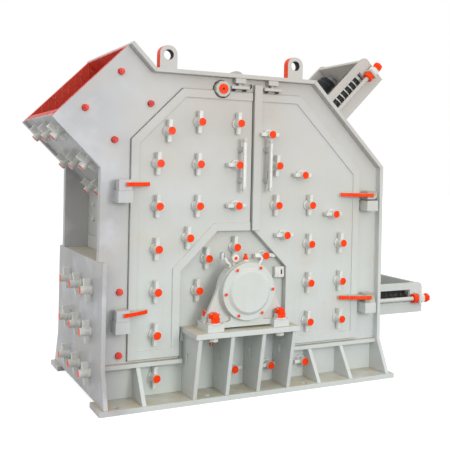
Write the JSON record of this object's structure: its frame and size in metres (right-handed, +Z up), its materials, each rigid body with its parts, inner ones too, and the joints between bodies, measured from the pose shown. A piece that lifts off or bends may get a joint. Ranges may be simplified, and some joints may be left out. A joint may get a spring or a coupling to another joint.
{
  "type": "impact crusher",
  "caption": "Floor-standing impact crusher: welded plate housing with a sloping feed chute, hinged side doors, a rotor in pillow blocks and screw adjusters at the rear.",
  "frame": {"origin": "centre of the foundation bolt rectangle on the underside of the base rails", "axes": "+X from the feed mouth to the rear wall, +Z up, -Y the side with the closed bearing cover"},
  "size_m": [3.3467, 1.807, 2.6103],
  "materials": {
    "housing_paint": "off-white gloss machine paint",
    "machined_steel": "machined and lightly oiled",
    "wear_iron": "as cast",
    "red_paint": "orange-red gloss paint",
    "black_rubber": "matt moulded rubber"
  },
  "bodies": {
    "housing": {"base_rail_front": "housing_paint", "base_rail_back": "housing_paint", "base_ledge_front": "housing_paint", "base_ledge_back": "housing_paint", "base_gussets_front": "housing_paint", "base_gussets_back": "housing_paint", "bearing_table_front": "housing_paint", "bearing_table_back": "housing_paint", "side_wall_front": "housing_paint", "side_wall_back": "housing_paint", "roof_plate": "housing_paint", "slope_plate": "housing_paint", "rear_wall_plate": "housing_paint", "feed_end_plate": "housing_paint", "feed_end_shelf": "housing_paint", "feed_end_panel": "housing_paint", "hopper_floor": "housing_paint", "hopper_roof": "housing_paint", "lifting_lugs": "housing_paint", "hinge_blocks_front": "housing_paint", "hinge_blocks_back": "housing_paint", "door_clamps_front": "housing_paint", "door_clamps_back": "housing_paint", "bearing_housing_front": "housing_paint", "bearing_housing_back": "housing_paint", "bearing_cover_front": "housing_paint", "bearing_cover_back": "housing_paint", "shaft_collars": "housing_paint", "adjuster_cheeks_upper": "housing_paint", "adjuster_cheeks_lower": "housing_paint", "adjuster_bridge_upper": "housing_paint", "adjuster_bridge_lower": "housing_paint", "adjuster_rods": "housing_paint", "rotor_shaft": "machined_steel", "curtain_shafts": "machined_steel", "adjuster_spindles": "machined_steel", "rotor_drum": "wear_iron", "blow_bars": "wear_iron", "curtain_upper": "wear_iron", "curtain_lower": "wear_iron", "hopper_liners": "red_paint", "rubber_springs": "black_rubber"},
    "left_front_door": {"door_left_front": "housing_paint", "door_fittings_left_front": "housing_paint"},
    "right_front_door": {"door_right_front": "housing_paint", "door_fittings_right_front": "housing_paint"},
    "left_back_door": {"door_left_back": "housing_paint", "door_fittings_left_back": "housing_paint"},
    "right_back_door": {"door_right_back": "housing_paint", "door_fittings_right_back": "housing_paint"}
  },
  "joints": [
    {"name": "left_front_door_hinge", "type": "hinge", "parent": "housing", "child": "left_front_door", "pos_m": [-1.032, -0.606, 1.1], "axis": [0, 0, -1], "range_deg": [0, 110]},
    {"name": "right_front_door_hinge", "type": "hinge", "parent": "housing", "child": "right_front_door", "pos_m": [1.02, -0.606, 1.1], "axis": [0, 0, 1], "range_deg": [0, 110]},
    {"name": "left_back_door_hinge", "type": "hinge", "parent": "housing", "child": "left_back_door", "pos_m": [-1.032, 0.606, 1.1], "axis": [0, 0, 1], "range_deg": [0, 110]},
    {"name": "right_back_door_hinge", "type": "hinge", "parent": "housing", "child": "right_back_door", "pos_m": [1.02, 0.606, 1.1], "axis": [0, 0, -1], "range_deg": [0, 110]}
  ]
}
